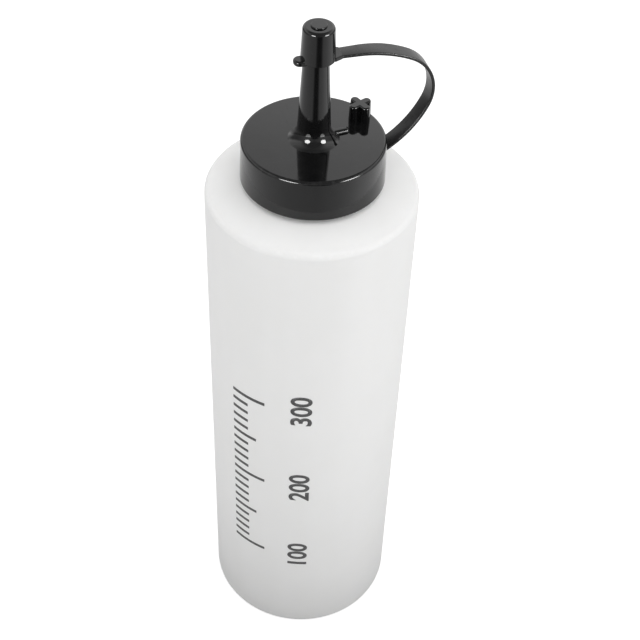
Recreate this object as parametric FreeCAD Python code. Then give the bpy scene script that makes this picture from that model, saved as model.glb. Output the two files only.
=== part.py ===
import FreeCAD, Part
import math
import os

# Condiment squeeze bottle: a round blow-moulded bottle, a screw cap with a tall nozzle, a gasket
# under the cap, and a tip cap on a moulded strap. Millimetres, +Z up, origin in the middle of the
# base. The strap lies along +X, the tip cap's thumb tab along -X.

# Bottle
body_radius = 30.6
shoulder_edge_height = 176.0
shoulder_slope = 14.5
shoulder_round = 2.0
shoulder_wall = 1.4
body_wall = 1.1
heel_round = 2.0
foot_width = 5.0
foot_round = 0.6
push_up = 2.4
push_up_run = 3.0
base_thickness = 1.5
neck_radius = 17.45
neck_wall = 1.7
neck_root_round = 0.8
rim_round = 0.4

# Thread of the neck and of the screw cap, right-handed
thread_pitch = 4.233
thread_turns = 1.25
thread_depth = 1.15
thread_root_width = 2.4
thread_crest_width = 1.2
thread_clearance = 0.35
thread_sink = 0.3
thread_rim_gap = 1.0
thread_foot_gap = 0.4
thread_head_room = 1.8
run_out_turns = 0.08
run_out_depth_share = 0.25
thread_steps_per_turn = 24

# Gasket
gasket_thickness = 1.2
gasket_lip = 1.0
gasket_clearance = 0.35
gasket_round = 0.25

# Screw cap
skirt_wall = 1.25
skirt_draft = 0.3
skirt_gap = 1.7
skirt_foot_round = 0.35
plate_thickness = 1.6
plate_round = 0.9

# Nozzle, with heights above the cap's plate
nozzle_height = 33.9
nozzle_root_radius = 4.87
nozzle_tip_radius = 3.1
nozzle_tip_round = 0.5
flare_reach = 2.3
flare_rise = 1.9
flare_round = 5.3
nozzle_wall = 1.3
throat_radius = 5.5
throat_height = 4.0
orifice_radius = 1.6
orifice_length = 4.0

# Parking post, a cross of two round-ended bars close to the plate's rim
post_rim_gap = 0.3
post_turn = 22.0
post_height = 4.7
post_span = 7.0
post_bar_width = 2.4
post_draft = 0.2
post_edge_round = 0.5

# Low rib on the plate at the nozzle's foot
rib_reach = 5.6
rib_turn = 5.0
rib_width = 2.2
rib_height = 1.0
rib_end_round = 1.0
rib_edge_round = 0.8

# Tip cap, drawn aside by the strap by a share of its clearance on the nozzle
tip_height = 9.8
tip_wall = 0.55
tip_ceiling = 1.4
tip_clearance = 0.65
tip_aside_share = 0.75
tip_round = 0.95
tip_foot_round = 0.2
boss_radius = 2.2
boss_height = 0.4
boss_round = 0.2
tab_thickness = 1.6
tab_drop = 1.0
tab_reach = 2.0
tab_width = 3.7
tab_round = 1.75
tab_edge_round = 0.6
tip_lug_reach = 1.35
tip_lug_flare = 0.8
tip_lug_thickness = 1.2

# Strap, a level run from the tip cap, an easy bend, the main bend and a wide last bend to the skirt
strap_width = 5.2
strap_root_width = 4.3
strap_widening = 12.0
strap_thickness = 0.9
strap_edge_round = 0.25
strap_lead = 4.7
strap_easy_turn = 26.0
strap_main_turn = 88.5
strap_last_turn = 32.0
easy_radius_share = 2.8
skirt_lug_reach = 1.0
skirt_lug_drop = 5.9
skirt_lug_width = 3.6
skirt_lug_thickness = 1.6

# Sizes that follow from those above
slope = math.tan(math.radians(shoulder_slope))
neck_bore = neck_radius - neck_wall
cap_bore = neck_radius + thread_depth + thread_clearance
cap_radius = cap_bore + skirt_wall
cap_foot_radius = cap_radius + skirt_draft
post_distance = cap_radius - post_rim_gap - post_span / 2
thread_height = thread_turns * thread_pitch
cap_height = (thread_foot_gap + thread_root_width + thread_height + thread_head_room
              + gasket_thickness + plate_thickness)

# Heights above the base
neck_root_z = shoulder_edge_height + (body_radius - neck_radius) * slope
cap_foot_z = shoulder_edge_height + (body_radius - cap_foot_radius) * slope + skirt_gap
plate_top_z = cap_foot_z + cap_height
plate_foot_z = plate_top_z - plate_thickness
neck_rim_z = plate_foot_z - gasket_thickness
neck_thread_z = neck_rim_z - thread_rim_gap - thread_root_width / 2 - thread_height
cap_thread_z = cap_foot_z + thread_foot_gap + thread_root_width / 2
nozzle_tip_z = plate_top_z + nozzle_height
tip_top_z = nozzle_tip_z + tip_ceiling
tip_foot_z = tip_top_z - tip_height

# Tip cap radii, which follow the nozzle's taper
nozzle_taper = (nozzle_root_radius - nozzle_tip_radius) / nozzle_height
tip_bore_top = nozzle_tip_radius + tip_clearance
tip_bore_foot = tip_bore_top + (nozzle_tip_z - tip_foot_z) * nozzle_taper
tip_radius_top = tip_bore_top + tip_wall
tip_radius_foot = tip_bore_foot + tip_wall

# Strap ends: the faces of the two lugs that it runs between
tip_aside = tip_clearance * tip_aside_share
tip_lug_end = tip_radius_foot + tip_lug_reach
strap_start_x = tip_aside + tip_lug_end
strap_start_z = tip_foot_z + tip_lug_thickness / 2
strap_end_x = cap_radius + skirt_lug_reach
strap_end_z = plate_top_z - skirt_lug_drop


def upright(x, z):
    return FreeCAD.Vector(x, 0, z)


def level(x, y, z):
    return FreeCAD.Vector(x, y, z)


def outline(corners):
    """Closed wire through (point, round) corners of one plane, each corner rounded by an arc."""
    edges = []
    ends = []
    count = len(corners)
    for i, (point, radius) in enumerate(corners):
        back = corners[i - 1][0] - point
        ahead = corners[(i + 1) % count][0] - point
        if radius == 0:
            ends.append((point, point))
            continue
        half = back.getAngle(ahead) / 2
        back.normalize()
        ahead.normalize()
        middle = back + ahead
        middle.normalize()
        start = point + back * (radius / math.tan(half))
        end = point + ahead * (radius / math.tan(half))
        crown = point + middle * (radius / math.sin(half) - radius)
        ends.append((start, end))
        edges.append(Part.Arc(start, crown, end).toShape())
    for i in range(count):
        start = ends[i][1]
        end = ends[(i + 1) % count][0]
        edges.append(Part.makeLine(start, end))
    return Part.Wire(Part.__sortEdges__(edges))


def lathe(corners):
    """Solid of revolution about Z from (radius, height, round) corners."""
    wire = outline([(upright(r, z), rounding) for r, z, rounding in corners])
    return Part.Face(wire).revolve(FreeCAD.Vector(0, 0, 0), FreeCAD.Vector(0, 0, 1), 360)


def prism(corners, direction):
    """Solid from rounded corners of one plane, pushed along a direction."""
    return Part.Face(outline(corners)).extrude(direction)


def softened(solid, radius, chosen):
    """The solid with its chosen edges rounded."""
    return solid.makeFillet(radius, [edge for edge in solid.Edges if chosen(edge)])


def turned(shape, angle):
    """The shape turned about the Z axis."""
    shape.rotate(FreeCAD.Vector(0, 0, 0), FreeCAD.Vector(0, 0, 1), angle)
    return shape


def one_solid(shape):
    """The single clean solid of a finished piece."""
    shape = shape.removeSplitter()
    assert len(shape.Solids) == 1 and shape.isValid()
    return shape.Solids[0]


def thread(root_radius, outward, start_z, start_turn):
    """Ridge of the thread on a wall at root_radius, with run-outs at both ends."""
    steps = round(thread_turns * thread_steps_per_turn)
    sections = []
    for i in range(steps + 1):
        turns = thread_turns * i / steps
        from_end = min(turns, thread_turns - turns)
        rise_share = min(1, run_out_depth_share + (1 - run_out_depth_share) * from_end / run_out_turns)
        root = root_radius - outward * thread_sink
        crest = root_radius + outward * thread_depth * rise_share
        z = start_z + turns * thread_pitch
        corners = (
            (root, z - thread_root_width / 2),
            (crest, z - thread_crest_width / 2),
            (crest, z + thread_crest_width / 2),
            (root, z + thread_root_width / 2),
        )
        wire = Part.makePolygon([upright(*c) for c in corners] + [upright(*corners[0])])
        sections.append(turned(wire, (start_turn + turns) * 360))
    return Part.makeLoft(sections, True, False)


def bottle():
    inner_radius = body_radius - body_wall
    foot_inner = body_radius - heel_round - foot_width
    push_up_radius = foot_inner - push_up_run
    shoulder_drop = shoulder_wall / math.cos(math.radians(shoulder_slope))
    inner_edge_z = shoulder_edge_height + body_wall * slope - shoulder_drop
    inner_neck_z = shoulder_edge_height + (body_radius - neck_bore) * slope - shoulder_drop
    shell = lathe([
        (0, push_up, 0),
        (push_up_radius, push_up, foot_round),
        (foot_inner, 0, foot_round),
        (body_radius, 0, heel_round),
        (body_radius, shoulder_edge_height, shoulder_round),
        (neck_radius, neck_root_z, neck_root_round),
        (neck_radius, neck_rim_z, rim_round),
        (neck_bore, neck_rim_z, rim_round),
        (neck_bore, inner_neck_z, neck_root_round),
        (inner_radius, inner_edge_z, shoulder_round - body_wall),
        (inner_radius, base_thickness, heel_round - body_wall),
        (foot_inner, base_thickness, foot_round),
        (push_up_radius, push_up + base_thickness, foot_round),
        (0, push_up + base_thickness, 0),
    ])
    return one_solid(shell.fuse(thread(neck_radius, 1, neck_thread_z, 0)))


def neck_gasket():
    outer = cap_bore - gasket_clearance
    inner = neck_bore - gasket_lip
    return lathe([
        (inner, neck_rim_z, gasket_round),
        (outer, neck_rim_z, gasket_round),
        (outer, plate_foot_z, gasket_round),
        (inner, plate_foot_z, gasket_round),
    ])


def slot_wire(length, width, z):
    """Round-ended slot outline about the Z axis, lying along X."""
    half_run = (length - width) / 2
    half_width = width / 2
    right = level(half_run, 0, z)
    left = level(-half_run, 0, z)
    side = level(0, half_width, 0)
    tip = level(half_width, 0, 0)
    return Part.Wire([
        Part.makeLine(left - side, right - side),
        Part.Arc(right - side, right + tip, right + side).toShape(),
        Part.makeLine(right + side, left + side),
        Part.Arc(left + side, left - tip, left - side).toShape(),
    ])


def post_bar(angle):
    """One bar of the parking post, at an angle to the radius that the post stands on."""
    foot_z = plate_top_z - plate_thickness / 2
    top_z = plate_top_z + post_height
    levels = ((foot_z, 2 * post_draft), (top_z, 0))
    wires = [slot_wire(post_span + grow, post_bar_width + grow, z) for z, grow in levels]
    bar = softened(Part.makeLoft(wires, True, True), post_edge_round,
                   lambda edge: edge.BoundBox.ZMin > top_z - post_edge_round)
    bar = turned(bar, angle)
    bar.translate(level(post_distance, 0, 0))
    return turned(bar, post_turn)


def nozzle_rib():
    foot_z = plate_top_z - plate_thickness / 2
    top_z = plate_top_z + rib_height
    end_x = nozzle_root_radius + rib_reach
    half = rib_width / 2
    corners = [
        (level(0, -half, foot_z), 0),
        (level(0, half, foot_z), 0),
        (level(end_x, half, foot_z), rib_end_round),
        (level(end_x, -half, foot_z), rib_end_round),
    ]
    rib = softened(prism(corners, level(0, 0, top_z - foot_z)), rib_edge_round,
                   lambda edge: edge.BoundBox.ZMin > top_z - rib_edge_round and edge.BoundBox.XMax > half)
    return turned(rib, rib_turn)


def strap_bends():
    """Radii of the main bend and of the last bend that take the strap from one lug to the other."""
    first = math.radians(strap_easy_turn)
    second = math.radians(strap_easy_turn + strap_main_turn)
    third = math.radians(strap_easy_turn + strap_main_turn + strap_last_turn)
    across = strap_end_x - strap_start_x - strap_lead
    down = strap_start_z - strap_end_z
    main_across_share = easy_radius_share * math.sin(first) + math.sin(second) - math.sin(first)
    main_down_share = easy_radius_share * (1 - math.cos(first)) + math.cos(first) - math.cos(second)
    last_across_share = math.sin(third) - math.sin(second)
    last_down_share = math.cos(second) - math.cos(third)
    spread_share = main_across_share * last_down_share - main_down_share * last_across_share
    radius = (across * last_down_share - down * last_across_share) / spread_share
    last_radius = (down - radius * main_down_share) / last_down_share
    return radius, last_radius


def strap_line(offset):
    """Edges of the strap's side line, offset outward from its middle, from tip cap to skirt."""
    radius, last_radius = strap_bends()
    point = upright(strap_start_x, strap_start_z + offset)
    ahead = upright(1, 0)
    edges = []
    for length, turn, bend in (
        (strap_lead, 0, 0),
        (0, strap_easy_turn, easy_radius_share * radius + offset),
        (0, strap_main_turn, radius + offset),
        (0, strap_last_turn, last_radius + offset),
    ):
        if turn == 0:
            end = point + ahead * length
            edges.append(Part.makeLine(point, end))
        else:
            centre = point + upright(-ahead.z, ahead.x) * -bend
            spin = FreeCAD.Rotation(FreeCAD.Vector(0, 1, 0), turn)
            half_spin = FreeCAD.Rotation(FreeCAD.Vector(0, 1, 0), turn / 2)
            crown = centre + half_spin.multVec(point - centre)
            end = centre + spin.multVec(point - centre)
            edges.append(Part.Arc(point, crown, end).toShape())
            ahead = spin.multVec(ahead)
        point = end
    return edges, point, ahead


def strap_plan():
    """Upright block with the strap's plan: it widens from the tip cap, then keeps its width."""
    root = strap_root_width / 2
    half = strap_width / 2
    wide_x = strap_start_x + strap_widening
    far_x = strap_end_x + strap_start_z - strap_end_z
    foot_z = strap_end_z - strap_width
    corners = [
        (level(strap_start_x, -root, foot_z), 0),
        (level(strap_start_x, root, foot_z), 0),
        (level(wide_x, half, foot_z), strap_widening),
        (level(far_x, half, foot_z), 0),
        (level(far_x, -half, foot_z), 0),
        (level(wide_x, -half, foot_z), strap_widening),
    ]
    return prism(corners, level(0, 0, strap_start_z + strap_width - foot_z))


def runs_along(edge):
    """Whether an edge of the band follows its length."""
    return edge.BoundBox.YLength < strap_root_width / 2 and edge.Length > strap_thickness + strap_edge_round


def strap():
    outer, outer_end, ahead = strap_line(strap_thickness / 2)
    inner, inner_end, ahead = strap_line(-strap_thickness / 2)
    start_z = strap_start_z + strap_thickness / 2
    ends = [
        Part.makeLine(outer_end, inner_end),
        Part.makeLine(upright(strap_start_x, start_z - strap_thickness), upright(strap_start_x, start_z)),
    ]
    band = Part.Face(Part.Wire(Part.__sortEdges__(outer + inner + ends)))
    band.translate(level(0, -strap_width / 2, 0))
    solid = band.extrude(level(0, strap_width, 0)).common(strap_plan())
    return one_solid(softened(solid, strap_edge_round, runs_along))


def skirt_lug():
    """Short block on the skirt whose slanted end face carries the strap."""
    edges, end, ahead = strap_line(0)
    across = upright(-ahead.z, ahead.x) * (skirt_lug_thickness / 2)
    inner_x = cap_radius - skirt_wall / 2
    corners = []
    for corner in (end + across, end - across):
        run = (inner_x - corner.x) / ahead.x
        corners.append((corner, corner + ahead * run))
    (near, near_in), (far, far_in) = corners
    ring = [near, far, far_in, near_in]
    side = level(0, -skirt_lug_width / 2, 0)
    return prism([(corner + side, 0) for corner in ring], level(0, skirt_lug_width, 0))


def screw_cap():
    channel_radius = nozzle_root_radius - nozzle_wall
    flare_neck = nozzle_root_radius - flare_rise * nozzle_taper
    body = lathe([
        (0, cap_foot_z, 0),
        (cap_foot_radius, cap_foot_z, skirt_foot_round),
        (cap_radius, plate_top_z, plate_round),
        (nozzle_root_radius + flare_reach, plate_top_z, 0),
        (flare_neck, plate_top_z + flare_rise, flare_round),
        (nozzle_tip_radius, nozzle_tip_z, nozzle_tip_round),
        (0, nozzle_tip_z, 0),
    ])
    cavity = lathe([
        (0, cap_foot_z, 0),
        (cap_bore, cap_foot_z, 0),
        (cap_bore, plate_foot_z, 0),
        (throat_radius, plate_foot_z, 0),
        (channel_radius, plate_foot_z + throat_height, nozzle_wall),
        (orifice_radius, nozzle_tip_z - orifice_length, nozzle_wall),
        (orifice_radius, nozzle_tip_z, 0),
        (0, nozzle_tip_z, 0),
    ])
    thread_turn = (cap_thread_z - neck_thread_z) / thread_pitch + 1 / 2
    ridge = thread(cap_bore, -1, cap_thread_z, thread_turn)
    body = body.fuse([post_bar(0), post_bar(90), nozzle_rib(), skirt_lug()])
    return one_solid(body.cut(cavity).fuse(ridge))


def is_free_rim(edge):
    """Whether an edge of the tab or the lug lies level and off the tip cap's axis."""
    return edge.BoundBox.ZLength < tab_edge_round and abs(edge.CenterOfMass.x) > tab_edge_round


def tip_tab():
    half = tab_width / 2
    end_x = -tip_radius_foot - tab_reach
    foot_z = tip_foot_z - tab_drop
    corners = [
        (level(0, -half, foot_z), 0),
        (level(0, half, foot_z), 0),
        (level(end_x, half, foot_z), tab_round),
        (level(end_x, -half, foot_z), tab_round),
    ]
    tab = prism(corners, level(0, 0, tab_thickness))
    return softened(tab, tab_edge_round, is_free_rim)


def runs_out(edge):
    """Whether a free rim of the lug runs out to the strap."""
    return is_free_rim(edge) and edge.BoundBox.XLength > strap_edge_round


def tip_lug():
    half = strap_root_width / 2
    root = half + tip_lug_flare
    corners = [
        (level(0, -root, tip_foot_z), 0),
        (level(tip_bore_foot, -root, tip_foot_z), 0),
        (level(tip_lug_end, -half, tip_foot_z), 0),
        (level(tip_lug_end, half, tip_foot_z), 0),
        (level(tip_bore_foot, root, tip_foot_z), 0),
        (level(0, root, tip_foot_z), 0),
    ]
    lug = prism(corners, level(0, 0, tip_lug_thickness))
    return softened(lug, strap_edge_round, runs_out)


def tip_cap():
    body = lathe([
        (0, tip_foot_z, 0),
        (tip_radius_foot, tip_foot_z, tip_foot_round),
        (tip_radius_top, tip_top_z, tip_round),
        (boss_radius, tip_top_z, 0),
        (boss_radius, tip_top_z + boss_height, boss_round),
        (0, tip_top_z + boss_height, 0),
    ])
    bore = lathe([
        (0, tip_foot_z - tab_drop, 0),
        (tip_bore_foot, tip_foot_z - tab_drop, 0),
        (tip_bore_foot, tip_foot_z, 0),
        (tip_bore_top, nozzle_tip_z, 0),
        (0, nozzle_tip_z, 0),
    ])
    cap = body.fuse([tip_tab(), tip_lug()]).cut(bore)
    cap.translate(level(tip_aside, 0, 0))
    return one_solid(cap)


pieces = {
    "bottle": bottle(),
    "neck_gasket": neck_gasket(),
    "screw_cap": screw_cap(),
    "strap": strap(),
    "tip_cap": tip_cap(),
}
os.makedirs("parts", exist_ok=True)
for name, piece in pieces.items():
    piece.exportStep("parts/" + name + ".step")
    print(name, "volume", round(piece.Volume), "mm3, valid", piece.isValid())
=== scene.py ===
import bpy
import math
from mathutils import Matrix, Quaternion, Vector


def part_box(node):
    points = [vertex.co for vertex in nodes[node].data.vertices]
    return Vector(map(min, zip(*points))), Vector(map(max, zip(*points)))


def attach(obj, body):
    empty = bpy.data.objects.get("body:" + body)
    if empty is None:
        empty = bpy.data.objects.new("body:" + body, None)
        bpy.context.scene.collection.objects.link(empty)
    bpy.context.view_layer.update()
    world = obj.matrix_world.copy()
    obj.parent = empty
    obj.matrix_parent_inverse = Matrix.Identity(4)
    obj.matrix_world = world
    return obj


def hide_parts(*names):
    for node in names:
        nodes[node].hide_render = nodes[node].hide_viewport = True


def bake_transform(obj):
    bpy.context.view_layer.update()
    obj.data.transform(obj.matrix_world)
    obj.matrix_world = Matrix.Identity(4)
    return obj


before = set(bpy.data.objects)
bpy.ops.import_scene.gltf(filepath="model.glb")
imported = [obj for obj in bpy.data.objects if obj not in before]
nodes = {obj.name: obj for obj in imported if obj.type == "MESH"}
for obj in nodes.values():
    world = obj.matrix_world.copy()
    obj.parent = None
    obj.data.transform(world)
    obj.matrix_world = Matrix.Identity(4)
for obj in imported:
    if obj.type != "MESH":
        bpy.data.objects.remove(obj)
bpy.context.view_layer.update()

# Condiment squeeze bottle: looks. Metres, +Z up, the strap along +X, as in the part's source.

# Units in metres and cubic metres, and how close two points of a mesh are merged
MM = 0.001
MILLILITRE = 1e-6
merge_distance = 1e-7

# Camera, as solved from the photograph
camera_place = Vector((-88.4, -280.3, 412.4)) * MM
camera_target = Vector((0, 0, 122.5)) * MM
camera_roll = math.radians(1.878)
camera_lens = 74.40
camera_sensor = 36.0
camera_shift = 0.0193
facing_turn = math.atan2(camera_place.y, camera_place.x)

# Edges of the bottle, the screw cap and the tip cap that take wear
body_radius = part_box("bottle")[1].x
shoulder_edge = 176.0 * MM
plate_radius = 20.2 * MM
plate_top = 193.0 * MM
tip_radius = 4.3 * MM
tip_top = 228.3 * MM
tip_aside = Vector((0.49, 0, 0)) * MM
worn_shoulder_width = 4.0 * MM
worn_rim_width = 1.2 * MM

# Strap: a level run, an easy bend, the main bend and a wide last bend to the skirt
strap_width = 5.2 * MM
strap_root_width = 4.3 * MM
strap_widening = 12.0 * MM
strap_thickness = 0.9 * MM
strap_edge_round = 0.25 * MM
strap_lead = 4.7 * MM
strap_easy_turn = math.radians(26.0)
strap_main_turn = math.radians(88.5)
strap_last_turn = math.radians(32.0)
easy_radius_share = 2.8
strap_start = Vector((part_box("strap")[0].x, 0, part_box("strap")[1].z - strap_thickness / 2))
strap_end = Vector((21.2, 0, 187.1)) * MM
strap_sink = 1.4 * MM
strap_edge_segments = 4
strap_smooth_angle = math.radians(40)
lead_steps, easy_steps, main_steps, last_steps, sink_steps = 6, 12, 28, 18, 2

# Printed scale: true contents of the body, one long tick and one number per hundred millilitres
content_floor = 3.9 * MM
inner_radius = 29.5 * MM
scale_from, scale_to, scale_step, scale_number = 100, 300, 10, 100
tick_lengths = {100: 12.0 * MM, 50: 9.0 * MM, 10: 6.0 * MM}
tick_width = 1.2 * MM
digit_height = 6.2 * MM
digit_height_share = 0.7
digit_weight = 0.2 * MM
scale_turn = math.radians(-46)
digits_turn = math.radians(-9.5)
print_step = 0.5 * MM
print_proud = 0.03 * MM
print_sink = 0.06 * MM

# Mould line, a faint one down both sides of the body
mould_line_width = 0.3 * MM
mould_line_foot = 4.0 * MM
mould_line_top = 172.0 * MM

# Moulded skin: a finer ripple on a broad one, and the range of heights that the two give
finer_ripple = 5.3
finer_ripple_share = 0.3
skin_low, skin_high = 0.4, 0.9

# Hairline scuffs: how each set is turned, its streaks per metre along X, Y and Z, and what shows of them
scuff_sets = (
    ((0.3, 0.2, 0.4), (60, 900, 900)),
    ((1.1, 0.5, -0.6), (1100, 70, 1100)),
)
scuff_from, scuff_to = 0.66, 0.74

# Dust specks: the largest as a share of their cell. Wear: patches per metre, and what shows of them
speck_share = 0.14
wear_patches = 700.0
wear_from, wear_to = 0.45, 0.65

# Finishes. A tone is a grey's level and warmth. Pairs go from a pattern's low places to its high ones.

# Milky plastic: also its clouds and flow lines per metre, and how deep light goes in
milky_tones = (0.822, 0.008), (0.842, 0.005)
milky_worn = 0.81, 0.003
milky_rough = 0.60, 0.70
milky_ripple = 0.02 * MM
milky_clouds = 55.0
milky_flow = 90, 90, 6
cloud_from, cloud_to = 0.75, 1.25
milky_scatter = 0.6 * MM
milky_scatter_tint = 1.0, 0.98, 0.94

# The shoulder's corner, with a painted shade: a darker grey that dims the light on its rounded edge
corner_shade_tone = 0.765, 0.005
corner_shade_fade = 2.0 * MM

# Black plastic of the screw cap and the tip cap
black_tones = (0.0040, -0.05), (0.0060, -0.03)
black_dust = 0.04, 0.03
black_worn = 0.02, 0.0
black_rough = 0.05, 0.09
black_worn_rough = 0.1
black_ripple = 0.004 * MM

# Duller black plastic of the strap
strap_tones = (0.0045, -0.05), (0.0075, -0.04)
strap_rough = 0.26, 0.34
strap_ripple = 0.003 * MM

# Ink of the printed scale
ink_tones = (0.058, 0.0), (0.076, 0.0)
ink_pinhole = 0.3, 0.02
ink_rough = 0.42, 0.58
ink_ripple = 0.01 * MM

# Rubber of the gasket
rubber_tones = (0.55, 0.08), (0.64, 0.07)
rubber_rough = 0.6, 0.8
rubber_ripple = 0.03 * MM

# Floor; a brightness of 1 is white. To bounced light it carries a painted shade, darker close to the bottle
# than further out.
floor_size = 8.0
floor_drop = 0.2 * MM
floor_glow = 0.72
floor_pale = 0.5
bounce_near, bounce_far = 0.10, 0.80
bounce_from, bounce_to = 35 * MM, 185 * MM

# The near floor in gloss: degrees to the right of the camera's side, and brightness there
floor_gloss = (
    (-180, 0.95), (-110, 0.92), (-60, 0.86), (-24, 0.74), (8, 0.68), (36, 0.85), (75, 1.2), (124, 1.1),
    (180, 0.95),
)

# The shaded floor under the camera: how far out it starts, where it lies and how wide it is
shade_from, shade_to = 295 * MM, 325 * MM
shade_turn = math.radians(8)
shade_inner, shade_outer = math.radians(6), math.radians(26)
shade_glow_share = 0.06

# The far floor and the low dome in gloss, past the edge of the paper: soft upright bands
paper_from, paper_to = 550 * MM, 800 * MM
level_from, level_to = math.radians(10), math.radians(21)
level_gloss = (
    (-180, 0.50), (-150, 1.30), (-128, 0.30), (-100, 0.35), (-70, 0.60), (-34, 1.00), (5, 0.40), (56, 1.00),
    (100, 0.50), (128, 0.50), (150, 1.30), (180, 0.50),
)

# Dome: light from it, and its brightness in gloss by degrees above level, dimmer on the camera's side
dome_light = 0.91
dome_rises = (
    (0, 1.10), (14, 1.10), (20, 1.65), (27, 1.45), (33, 1.30), (35.5, 1.55), (37.5, 1.20), (44, 1.05),
    (60, 0.30),
)
dome_dim = 0.3
dome_left_share, dome_right_share, dome_middle = 0.95, 1.13, 0.05
front_from, front_to = 0.2, 0.75

# Lamps: shape, degrees right of the camera's side and above level, distance, width, height, brightness
lamp_aim = Vector((0, 0, 122.5)) * MM
light_lamps = {
    "right_softbox": ("RECTANGLE", 75, 28, 0.9, 0.5, 0.6, 0.9),
    "left_softbox": ("RECTANGLE", -75, 28, 0.9, 0.5, 0.6, 0.3),
    "top_softbox": ("RECTANGLE", 35, 69, 1.2, 0.8, 0.8, 1.35),
}
glint_lamps = {
    "right_glint": ("ELLIPSE", 56, 21, 0.62, 0.30, 0.22, 25),
    "left_glint": ("ELLIPSE", -34, 21, 0.62, 0.30, 0.22, 25),
}


def select_only(piece):
    bpy.ops.object.select_all(action="DESELECT")
    piece.select_set(True)
    bpy.context.view_layer.objects.active = piece


def edit(piece):
    select_only(piece)
    bpy.ops.object.mode_set(mode="EDIT")
    bpy.ops.mesh.select_all(action="SELECT")


def leave_edit():
    bpy.ops.object.mode_set(mode="OBJECT")


def settle(piece):
    """Puts a piece's place, turn and size into its mesh."""
    select_only(piece)
    bpy.ops.object.transform_apply(location=True, rotation=True, scale=True)


def apply_modifier(piece, kind, **settings):
    select_only(piece)
    modifier = piece.modifiers.new(kind.lower(), kind)
    for name, value in settings.items():
        setattr(modifier, name, value)
    bpy.ops.object.modifier_apply(modifier=modifier.name)


def close_up(piece):
    """Merges doubles and turns every face outwards."""
    edit(piece)
    bpy.ops.mesh.remove_doubles(threshold=merge_distance)
    bpy.ops.mesh.normals_make_consistent(inside=False)
    leave_edit()


def smooth(piece, angle):
    select_only(piece)
    bpy.ops.object.shade_smooth_by_angle(angle=angle)


def spot(turn, height, radius):
    """Point at a turn round the bottle's axis, a height and a distance from the axis."""
    return Vector((radius * math.cos(turn), radius * math.sin(turn), height))


# Strap

def strap_bends():
    """Radii of the main bend and of the last bend that take the strap from one end to the other."""
    first = strap_easy_turn
    second = strap_easy_turn + strap_main_turn
    third = strap_easy_turn + strap_main_turn + strap_last_turn
    across = strap_end.x - strap_start.x - strap_lead
    down = strap_start.z - strap_end.z
    main_across_share = easy_radius_share * math.sin(first) + math.sin(second) - math.sin(first)
    main_down_share = easy_radius_share * (1 - math.cos(first)) + math.cos(first) - math.cos(second)
    last_across_share = math.sin(third) - math.sin(second)
    last_down_share = math.cos(second) - math.cos(third)
    spread_share = main_across_share * last_down_share - main_down_share * last_across_share
    radius = (across * last_down_share - down * last_across_share) / spread_share
    return radius, (down - radius * main_down_share) / last_down_share


def strap_width_at(gone):
    """Width of the strap at a distance along it from the tip cap."""
    share = min(1, max(0, gone) / strap_widening)
    return strap_root_width + (strap_width - strap_root_width) * share


def pull_on(place, ahead, length):
    """Draws the selected end of the band straight ahead, and gives the place reached."""
    bpy.ops.mesh.extrude_region_move(TRANSFORM_OT_translate={"value": ahead * length})
    return place + ahead * length


def bend_on(place, ahead, radius, turn):
    """Draws the selected end of the band round a bend, and gives the place and direction reached."""
    centre = place + Vector((ahead.z, 0, -ahead.x)) * radius
    bpy.ops.mesh.spin(steps=1, angle=-turn, center=centre, axis=(0, 1, 0))
    spin = Quaternion((0, 1, 0), turn)
    return centre + spin @ (place - centre), spin @ ahead


def draw_band(place, ahead):
    """Draws the selected end of the band along the strap's line, widening it on the way."""
    radius, last_radius = strap_bends()
    easy_radius = easy_radius_share * radius
    gone = -strap_sink
    for length, bend, turn, steps in (
        (strap_lead + strap_sink, 0, 0, lead_steps),
        (easy_radius * strap_easy_turn, easy_radius, strap_easy_turn, easy_steps),
        (radius * strap_main_turn, radius, strap_main_turn, main_steps),
        (last_radius * strap_last_turn, last_radius, strap_last_turn, last_steps),
        (strap_sink, 0, 0, sink_steps),
    ):
        step = length / steps
        for _ in range(steps):
            if turn:
                place, ahead = bend_on(place, ahead, bend, turn / steps)
            else:
                place = pull_on(place, ahead, step)
            wider = strap_width_at(gone + step) / strap_width_at(gone)
            bpy.ops.transform.resize(value=(1, wider, 1))
            gone += step


def strap_band():
    """The strap, sunk a little into the lugs at both ends."""
    ahead = Vector((1, 0, 0))
    root = strap_start - ahead * strap_sink
    bpy.ops.object.select_all(action="DESELECT")
    bpy.ops.mesh.primitive_plane_add(size=1, location=root, rotation=(0, math.pi / 2, 0))
    band = bpy.context.object
    band.name = "strap_band"
    band.scale = (strap_thickness, strap_root_width, 1)
    settle(band)
    edit(band)
    bpy.ops.mesh.bevel(offset=strap_edge_round, segments=strap_edge_segments, affect="VERTICES")
    bpy.ops.mesh.delete(type="ONLY_FACE")
    bpy.ops.mesh.select_all(action="SELECT")
    draw_band(root, ahead)
    bpy.ops.mesh.select_all(action="DESELECT")
    bpy.ops.mesh.select_non_manifold()
    bpy.ops.mesh.edge_face_add()
    leave_edit()
    close_up(band)
    smooth(band, strap_smooth_angle)
    return band


# Printed scale

def content_height(amount):
    """Height of the surface over a content in millilitres."""
    return content_floor + amount * MILLILITRE / (math.pi * inner_radius ** 2)


def flat_tick(amount):
    """One tick of the scale, flat and facing -Y, with x measured round the body."""
    length = next(size for every, size in tick_lengths.items() if amount % every == 0)
    bpy.ops.object.select_all(action="DESELECT")
    left = scale_turn * body_radius
    place = (left + length / 2, 0, content_height(amount))
    bpy.ops.mesh.primitive_plane_add(size=1, location=place, rotation=(math.pi / 2, 0, 0))
    tick = bpy.context.object
    tick.scale = (length, tick_width, 1)
    settle(tick)
    return tick


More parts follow.
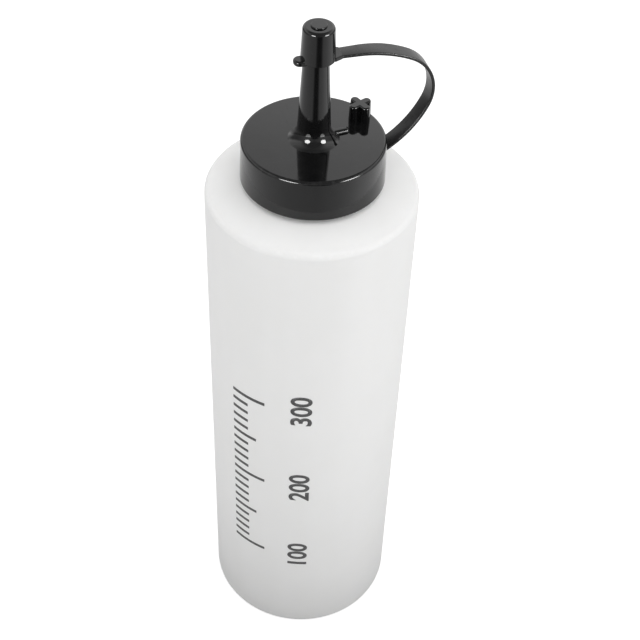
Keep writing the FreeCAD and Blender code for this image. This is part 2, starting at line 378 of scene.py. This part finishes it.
def flat_number(amount):
    """The number of a long tick, read from below upwards as the body's print is."""
    bpy.ops.object.select_all(action="DESELECT")
    place = (digits_turn * body_radius, 0, content_height(amount))
    bpy.ops.object.text_add(location=place)
    number = bpy.context.object
    number.data.body = str(amount)
    number.data.align_x = "CENTER"
    number.data.align_y = "TOP"
    number.data.size = digit_height / digit_height_share
    number.data.offset = digit_weight
    number.rotation_euler = (math.pi / 2, -math.pi / 2, 0)
    bpy.ops.object.convert(target="MESH")
    settle(number)
    return number


def slice_across(piece):
    """Cuts a flat print into narrow strips, so that it can follow the body's round."""
    edit(piece)
    columns = [v.co.x for v in piece.data.vertices]
    x = min(columns) + print_step
    while x < max(columns):
        bpy.ops.mesh.select_all(action="SELECT")
        bpy.ops.mesh.bisect(plane_co=(x, 0, 0), plane_no=(1, 0, 0))
        x += print_step
    leave_edit()


def scale_print():
    """The printed scale: its marks are laid out flat, joined, thickened and bent round the body."""
    marks = [flat_tick(amount) for amount in range(scale_from, scale_to + 1, scale_step)]
    marks += [flat_number(amount) for amount in range(scale_from, scale_to + 1, scale_number)]
    bpy.ops.object.select_all(action="DESELECT")
    for mark in marks:
        mark.select_set(True)
    bpy.context.view_layer.objects.active = marks[0]
    bpy.ops.object.join()
    ink = marks[0]
    ink.name = "scale_print"
    slice_across(ink)
    apply_modifier(ink, "SOLIDIFY", thickness=print_proud + print_sink, offset=-1)
    ink.location.y = -print_proud
    settle(ink)
    columns = [v.co.x for v in ink.data.vertices]
    span = (max(columns) - min(columns)) / body_radius
    apply_modifier(ink, "SIMPLE_DEFORM", deform_method="BEND", deform_axis="Z", angle=span)
    ink.location.y = -body_radius
    settle(ink)
    ink.rotation_euler.z = facing_turn + math.pi / 2
    settle(ink)
    close_up(ink)
    return ink


# Nodes

def feed(tree, entry, value):
    """Gives an input a constant, or a link where the value is another node's output."""
    if isinstance(value, bpy.types.NodeSocket):
        tree.links.new(value, entry)
    else:
        entry.default_value = value


def add(tree, kind, inputs, **settings):
    """Adds a node with its settings and feeds its inputs, given by name or number."""
    made = tree.nodes.new(kind)
    for name, value in settings.items():
        setattr(made, name, value)
    for entry, value in inputs.items():
        feed(tree, made.inputs[entry], value)
    return made


def calc(tree, operation, first, second=0.0):
    return add(tree, "ShaderNodeMath", {0: first, 1: second}, operation=operation).outputs[0]


def noise(tree, vector, scale, detail):
    return add(tree, "ShaderNodeTexNoise", {"Vector": vector, "Scale": scale, "Detail": detail}).outputs[0]


def spread(tree, source, low, high, to_low, to_high):
    """A value moved from one range to another."""
    ends = {"Value": source, "From Min": low, "From Max": high, "To Min": to_low, "To Max": to_high}
    return add(tree, "ShaderNodeMapRange", ends).outputs[0]


def soft_step(tree, source, low, high):
    """0 below the low value and 1 above the high one, with an easy rise between them."""
    ends = {"Value": source, "From Min": low, "From Max": high}
    return add(tree, "ShaderNodeMapRange", ends, interpolation_type="SMOOTHSTEP").outputs[0]


def along(tree, vector, direction):
    """How far a vector reaches along a direction."""
    made = add(tree, "ShaderNodeVectorMath", {0: vector, 1: direction}, operation="DOT_PRODUCT")
    return made.outputs["Value"]


def mix_colour(tree, mask, low, high):
    """Colour from low to high as the mask goes from 0 to 1."""
    return add(tree, "ShaderNodeMix", {0: mask, 6: low, 7: high}, data_type="RGBA").outputs[2]


def grey(level, warmth=0.0):
    """A grey, warmer where the warmth is above 0 and cooler where it is below."""
    return level, level, level * (1 - warmth), 1


def new_group(name, inputs):
    """A node group with coordinates and the named values in, and one value out."""
    group = bpy.data.node_groups.new(name, "ShaderNodeTree")
    group.interface.new_socket("Coordinates", in_out="INPUT", socket_type="NodeSocketVector")
    for socket in inputs:
        group.interface.new_socket(socket, in_out="INPUT", socket_type="NodeSocketFloat")
    group.interface.new_socket("Value", in_out="OUTPUT", socket_type="NodeSocketFloat")
    given = group.nodes.new("NodeGroupInput").outputs
    result = group.nodes.new("NodeGroupOutput").inputs["Value"]
    return group, given, result


def moulded_skin_group():
    """Height of a moulded skin: a broad ripple with a finer one on it."""
    group, given, result = new_group("moulded_skin", ["Grains per metre"])
    broad = noise(group, given["Coordinates"], given["Grains per metre"], detail=2.0)
    finer_grains = calc(group, "MULTIPLY", given["Grains per metre"], finer_ripple)
    fine = noise(group, given["Coordinates"], finer_grains, detail=3.0)
    fine = calc(group, "MULTIPLY", fine, finer_ripple_share)
    feed(group, result, calc(group, "ADD", broad, fine))
    return group


def scuffs_group():
    """Mask of hairline scuffs in two directions."""
    group, given, result = new_group("hairline_scuffs", ["Amount"])
    masks = []
    for turn, stretch in scuff_sets:
        lie = {"Vector": given["Coordinates"], "Rotation": turn, "Scale": stretch}
        streaks = noise(group, add(group, "ShaderNodeMapping", lie).outputs[0], 1.0, detail=1.0)
        masks.append(spread(group, streaks, scuff_from, scuff_to, 0, 1))
    both = calc(group, "MAXIMUM", *masks)
    feed(group, result, calc(group, "MULTIPLY", both, given["Amount"]))
    return group


def dust_group():
    """Mask of single dust specks of many sizes."""
    group, given, result = new_group("dust_specks", ["Specks per metre", "Amount"])
    lie = {"Vector": given["Coordinates"], "Scale": given["Specks per metre"]}
    cells = add(group, "ShaderNodeTexVoronoi", lie, feature="F1").outputs
    pick = add(group, "ShaderNodeSeparateColor", {0: cells["Color"]}).outputs
    size = calc(group, "MULTIPLY", calc(group, "MULTIPLY", pick[0], pick[1]), speck_share)
    near = calc(group, "LESS_THAN", cells["Distance"], size)
    feed(group, result, calc(group, "MULTIPLY", near, given["Amount"]))
    return group


def reach_and_height(tree, coords):
    """Distance from the bottle's axis, and height above its base."""
    split = add(tree, "ShaderNodeSeparateXYZ", {0: coords}).outputs
    flat = add(tree, "ShaderNodeCombineXYZ", {"X": split["X"], "Y": split["Y"]}).outputs[0]
    return add(tree, "ShaderNodeVectorMath", {0: flat}, operation="LENGTH").outputs["Value"], split["Z"]


def worn_ring_group():
    """Mask of a worn edge that runs round the bottle's axis at a radius and height."""
    group, given, result = new_group("worn_ring", ["Radius", "Height", "Width"])
    reach, rise = reach_and_height(group, given["Coordinates"])
    out = calc(group, "POWER", calc(group, "SUBTRACT", reach, given["Radius"]), 2.0)
    up = calc(group, "POWER", calc(group, "SUBTRACT", rise, given["Height"]), 2.0)
    away = calc(group, "SQRT", calc(group, "ADD", out, up))
    near = calc(group, "SUBTRACT", 1.0, calc(group, "DIVIDE", away, given["Width"]))
    near = calc(group, "MAXIMUM", near, 0.0)
    patches = noise(group, given["Coordinates"], wear_patches, detail=3.0)
    patches = spread(group, patches, wear_from, wear_to, 0, 1)
    feed(group, result, calc(group, "MULTIPLY", near, patches))
    return group


moulded_skin = moulded_skin_group()
hairline_scuffs = scuffs_group()
dust_specks = dust_group()
worn_ring = worn_ring_group()


def effect(tree, group, coords, **values):
    """Places a node group with its own values, and gives what it puts out."""
    placed = add(tree, "ShaderNodeGroup", {}, node_tree=group)
    feed(tree, placed.inputs["Coordinates"], coords)
    for name, value in values.items():
        placed.inputs[name.replace("_", " ")].default_value = value
    return placed.outputs[0]


# Materials

def new_material(name, **constants):
    """A material with a Principled shader, its constants set on the shader's own sockets."""
    material = bpy.data.materials.new(name)
    material.use_nodes = True
    tree = material.node_tree
    tree.nodes.clear()
    shader = add(tree, "ShaderNodeBsdfPrincipled", {})
    for socket, value in constants.items():
        shader.inputs[socket.replace("_", " ")].default_value = value
    add(tree, "ShaderNodeOutputMaterial", {"Surface": shader.outputs[0]})
    coords = add(tree, "ShaderNodeTexCoord", {}).outputs["Object"]
    return material, tree, shader.inputs, coords


def bump(tree, height, distance):
    return add(tree, "ShaderNodeBump", {"Height": height, "Distance": distance}).outputs["Normal"]


def by_skin(tree, skin, ends):
    """A value that goes from one end in the skin's low places to the other in its high ones."""
    return spread(tree, skin, skin_low, skin_high, *ends)


def skin_tones(tree, skin, tones):
    """A grey that goes from one tone in the skin's low places to the other in its high ones."""
    low, high = tones
    return mix_colour(tree, by_skin(tree, skin, (0, 1)), grey(*low), grey(*high))


def mould_line(tree, coords):
    """1 along the mould line at the body's two sides, 0 elsewhere."""
    away = calc(tree, "ABSOLUTE", along(tree, coords, spot(facing_turn, 0, 1)))
    line = spread(tree, away, 0, mould_line_width, 1, 0)
    up = add(tree, "ShaderNodeSeparateXYZ", {0: coords}).outputs["Z"]
    above = calc(tree, "GREATER_THAN", up, mould_line_foot)
    below = calc(tree, "LESS_THAN", up, mould_line_top)
    return calc(tree, "MULTIPLY", line, calc(tree, "MULTIPLY", above, below))


def milky_plastic():
    """Soft translucent bottle plastic: faint clouding, flow lines down the wall, a satin skin and a painted
    shade on the shoulder's corner.
    """
    material, tree, shader, coords = new_material(
        "milky_plastic", IOR=1.48, Specular_IOR_Level=0.25, Subsurface_Weight=0.5,
        Subsurface_Scale=milky_scatter, Subsurface_Radius=milky_scatter_tint)
    clouds = noise(tree, coords, milky_clouds, detail=3.0)
    drawn = add(tree, "ShaderNodeMapping", {"Vector": coords, "Scale": milky_flow}).outputs[0]
    flow = noise(tree, drawn, 1.0, detail=1.0)
    tone = spread(tree, calc(tree, "ADD", clouds, flow), cloud_from, cloud_to, 0, 1)
    dark, light = milky_tones
    colour = mix_colour(tree, tone, grey(*dark), grey(*light))
    reach, rise = reach_and_height(tree, coords)
    # Painted shade: the shoulder's corner is greyed to dim the light on its rounded edge
    corner_shade_out = soft_step(tree, reach, body_radius - corner_shade_fade, body_radius)
    corner_shade_up = soft_step(tree, rise, shoulder_edge - corner_shade_fade, shoulder_edge)
    corner = calc(tree, "MULTIPLY", corner_shade_out, corner_shade_up)
    colour = mix_colour(tree, corner, colour, grey(*corner_shade_tone))
    edge = effect(tree, worn_ring, coords, Radius=body_radius, Height=shoulder_edge,
                  Width=worn_shoulder_width)
    colour = mix_colour(tree, edge, colour, grey(*milky_worn))
    skin = effect(tree, moulded_skin, coords, Grains_per_metre=420.0)
    scuffs = effect(tree, hairline_scuffs, coords, Amount=0.06)
    height = calc(tree, "ADD", skin, mould_line(tree, coords))
    feed(tree, shader["Base Color"], colour)
    feed(tree, shader["Roughness"], calc(tree, "ADD", by_skin(tree, skin, milky_rough), scuffs))
    feed(tree, shader["Normal"], bump(tree, height, milky_ripple))
    return material


def black_plastic(name, edge_radius, edge_height, aside=Vector()):
    """Glossy black moulded plastic with a faint ripple, hairline scuffs, dust and a worn rim."""
    material, tree, shader, coords = new_material(name, IOR=1.45)
    centred = add(tree, "ShaderNodeMapping", {"Vector": coords, "Location": -aside}).outputs[0]
    skin = effect(tree, moulded_skin, coords, Grains_per_metre=300.0)
    scuffs = effect(tree, hairline_scuffs, coords, Amount=0.06)
    dust = effect(tree, dust_specks, coords, Specks_per_metre=900.0, Amount=0.5)
    rim = effect(tree, worn_ring, centred, Radius=edge_radius, Height=edge_height, Width=worn_rim_width)
    colour = mix_colour(tree, dust, skin_tones(tree, skin, black_tones), grey(*black_dust))
    colour = mix_colour(tree, rim, colour, grey(*black_worn))
    rough = calc(tree, "ADD", by_skin(tree, skin, black_rough), scuffs)
    rough = calc(tree, "ADD", rough, calc(tree, "MULTIPLY", rim, black_worn_rough))
    feed(tree, shader["Base Color"], colour)
    feed(tree, shader["Roughness"], rough)
    feed(tree, shader["Normal"], bump(tree, skin, black_ripple))
    return material


def strap_plastic():
    """The same black plastic with the strap's duller, finely drawn face."""
    material, tree, shader, coords = new_material("strap_plastic", IOR=1.45)
    skin = effect(tree, moulded_skin, coords, Grains_per_metre=700.0)
    scuffs = effect(tree, hairline_scuffs, coords, Amount=0.08)
    feed(tree, shader["Base Color"], skin_tones(tree, skin, strap_tones))
    feed(tree, shader["Roughness"], calc(tree, "ADD", by_skin(tree, skin, strap_rough), scuffs))
    feed(tree, shader["Normal"], bump(tree, skin, strap_ripple))
    return material


def printed_ink():
    """Dark grey screen print with pinholes where the skin shows through."""
    material, tree, shader, coords = new_material("printed_ink", IOR=1.45)
    skin = effect(tree, moulded_skin, coords, Grains_per_metre=900.0)
    pinholes = effect(tree, dust_specks, coords, Specks_per_metre=2600.0, Amount=0.6)
    colour = skin_tones(tree, skin, ink_tones)
    feed(tree, shader["Base Color"], mix_colour(tree, pinholes, colour, grey(*ink_pinhole)))
    feed(tree, shader["Roughness"], by_skin(tree, skin, ink_rough))
    feed(tree, shader["Normal"], bump(tree, skin, ink_ripple))
    return material


def gasket_rubber():
    """Matt off-white sealing rubber."""
    material, tree, shader, coords = new_material("gasket_rubber", IOR=1.4)
    skin = effect(tree, moulded_skin, coords, Grains_per_metre=1500.0)
    feed(tree, shader["Base Color"], skin_tones(tree, skin, rubber_tones))
    feed(tree, shader["Roughness"], by_skin(tree, skin, rubber_rough))
    feed(tree, shader["Normal"], bump(tree, skin, rubber_ripple))
    return material


def finish_with(piece, material):
    piece.data.materials.clear()
    piece.data.materials.append(material)


# Floor, light and camera

def seen_directly(tree, path):
    """1 for what the camera, a gloss or a clear wall sees straight, 0 for light that is bounced about."""
    seen = calc(tree, "MAXIMUM", path["Is Camera Ray"], path["Is Glossy Ray"])
    return calc(tree, "MAXIMUM", seen, path["Is Transmission Ray"])


def ramp(tree, source, stops):
    """Brightness that runs through the given stops, each a place from 0 to 1 and a brightness."""
    made = add(tree, "ShaderNodeValToRGB", {0: source})
    elements = made.color_ramp.elements
    while len(elements) < len(stops):
        elements.new(0.5)
    for element, (place, glow) in zip(elements, stops):
        element.position = place
        element.color = grey(glow)
    return made.outputs[0]


def bands(tree, vector, stops):
    """Brightness round the object, through stops in degrees to the right of the camera's side."""
    turned = add(tree, "ShaderNodeMapping", {"Vector": vector, "Rotation": (0, 0, -facing_turn)}).outputs[0]
    round_about = add(tree, "ShaderNodeTexGradient", {"Vector": turned}, gradient_type="RADIAL").outputs[1]
    return ramp(tree, round_about, [(0.5 + degrees / 360, glow) for degrees, glow in stops])


def camera_shade(tree, coords, reach):
    """1 on the shaded floor under the camera, 0 elsewhere."""
    ahead = along(tree, coords, spot(facing_turn + shade_turn, 0, 1))
    close = calc(tree, "DIVIDE", ahead, reach)
    middle = soft_step(tree, close, math.cos(shade_outer), math.cos(shade_inner))
    return calc(tree, "MULTIPLY", middle, soft_step(tree, reach, shade_from, shade_to))


def floor_paper():
    """White to the camera, banded in gloss, and to the light that bounces about a pale paper with a painted
    shade close to the bottle.
    """
    material = bpy.data.materials.new("floor_paper")
    material.use_nodes = True
    tree = material.node_tree
    tree.nodes.clear()
    path = add(tree, "ShaderNodeLightPath", {}).outputs
    coords = add(tree, "ShaderNodeTexCoord", {}).outputs["Object"]
    reach = add(tree, "ShaderNodeVectorMath", {0: coords}, operation="LENGTH").outputs["Value"]
    # Painted shade: to bounced light the floor is darker close to the bottle, so the bottle's foot gets
    # less of it
    painted_bounce_shade = spread(tree, reach, bounce_from, bounce_to, bounce_near, bounce_far)
    bounce = add(tree, "ShaderNodeBsdfDiffuse", {"Color": painted_bounce_shade}).outputs[0]
    pale = add(tree, "ShaderNodeBsdfDiffuse", {"Color": grey(floor_pale)}).outputs[0]
    glow = add(tree, "ShaderNodeEmission", {"Strength": floor_glow}).outputs[0]
    white = add(tree, "ShaderNodeAddShader", {0: pale, 1: glow}).outputs[0]
    shade = spread(tree, camera_shade(tree, coords, reach), 0, 1, 1, shade_glow_share)
    past_paper = soft_step(tree, reach, paper_from, paper_to)
    near_glow = bands(tree, coords, floor_gloss)
    far_glow = bands(tree, coords, level_gloss)
    seen_glow = mix_colour(tree, past_paper, near_glow, far_glow)
    gloss = add(tree, "ShaderNodeEmission", {"Color": seen_glow, "Strength": shade}).outputs[0]
    seen = add(tree, "ShaderNodeMixShader", {0: path["Is Glossy Ray"], 1: white, 2: gloss}).outputs[0]
    paper = add(tree, "ShaderNodeMixShader", {0: seen_directly(tree, path), 1: bounce, 2: seen}).outputs[0]
    add(tree, "ShaderNodeOutputMaterial", {"Surface": paper})
    return material


def pale_floor():
    bpy.ops.object.select_all(action="DESELECT")
    bpy.ops.mesh.primitive_plane_add(size=floor_size, location=(0, 0, -floor_drop))
    floor = bpy.context.object
    floor.name = "pale_floor"
    settle(floor)
    finish_with(floor, floor_paper())


def dome_gloss(tree):
    """Brightness of the dome in gloss: by its rise, dim on the camera's side, and banded low down."""
    ray = add(tree, "ShaderNodeTexCoord", {}).outputs["Generated"]
    ahead = along(tree, ray, spot(facing_turn, 0, 1))
    across = along(tree, ray, spot(facing_turn + math.pi / 2, 0, 1))
    rise = add(tree, "ShaderNodeSeparateXYZ", {0: ray}).outputs["Z"]
    behind = ramp(tree, rise, [(math.sin(math.radians(degrees)), glow) for degrees, glow in dome_rises])
    side = spread(tree, across, -dome_middle, dome_middle, dome_left_share, dome_right_share)
    behind = calc(tree, "MULTIPLY", behind, side)
    front = soft_step(tree, ahead, front_from, front_to)
    dimmed = calc(tree, "MULTIPLY", calc(tree, "SUBTRACT", behind, dome_dim), front)
    high = calc(tree, "SUBTRACT", behind, dimmed)
    above = soft_step(tree, rise, math.sin(level_from), math.sin(level_to))
    return mix_colour(tree, above, bands(tree, ray, level_gloss), high)


def dome():
    world = bpy.data.worlds.new("white_dome")
    bpy.context.scene.world = world
    world.use_nodes = True
    tree = world.node_tree
    tree.nodes.clear()
    path = add(tree, "ShaderNodeLightPath", {}).outputs
    strength = spread(tree, seen_directly(tree, path), 0, 1, dome_light, 1.0)
    gloss = calc(tree, "MULTIPLY", path["Is Glossy Ray"], calc(tree, "SUBTRACT", dome_gloss(tree), 1.0))
    strength = calc(tree, "ADD", strength, gloss)
    background = add(tree, "ShaderNodeBackground", {"Color": grey(1.0), "Strength": strength}).outputs[0]
    add(tree, "ShaderNodeOutputWorld", {"Surface": background})


def area_lamp(name, shape, turn, rise, distance, width, height, glow):
    data = bpy.data.lights.new(name, "AREA")
    data.shape = shape
    data.size = width
    data.size_y = height
    area = width * height * (math.pi / 4 if shape == "ELLIPSE" else 1)
    data.energy = glow * math.pi * area
    lamp = bpy.data.objects.new(name, data)
    bpy.context.scene.collection.objects.link(lamp)
    heading = facing_turn + math.radians(turn)
    back = spot(heading, math.tan(math.radians(rise)), 1).normalized()
    lamp.location = lamp_aim + back * distance
    lamp.rotation_mode = "QUATERNION"
    lamp.rotation_quaternion = back.to_track_quat("Z", "Y")
    lamp.visible_camera = False
    return lamp


def view_camera():
    data = bpy.data.cameras.new("photo_view")
    data.lens = camera_lens
    data.sensor_width = camera_sensor
    data.shift_x = camera_shift
    camera = bpy.data.objects.new("photo_view", data)
    bpy.context.scene.collection.objects.link(camera)
    camera.location = camera_place
    camera.rotation_mode = "QUATERNION"
    back = (camera_place - camera_target).to_track_quat("Z", "Y")
    camera.rotation_quaternion = back @ Quaternion((0, 0, 1), camera_roll)
    bpy.context.scene.camera = camera


view_camera()
dome()
pale_floor()
for lamp_name, lamp_values in light_lamps.items():
    area_lamp(lamp_name, *lamp_values).visible_glossy = False
for lamp_name, lamp_values in glint_lamps.items():
    area_lamp(lamp_name, *lamp_values).visible_diffuse = False
bpy.context.scene.view_settings.view_transform = "Standard"

band = strap_band()
finish_with(band, strap_plastic())
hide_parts("strap")
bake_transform(band)

ink = scale_print()
finish_with(ink, printed_ink())
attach(ink, "bottle")

finish_with(nodes["bottle"], milky_plastic())
finish_with(nodes["neck_gasket"], gasket_rubber())
finish_with(nodes["screw_cap"], black_plastic("cap_black", plate_radius, plate_top))
finish_with(nodes["tip_cap"], black_plastic("tip_black", tip_radius, tip_top, tip_aside))
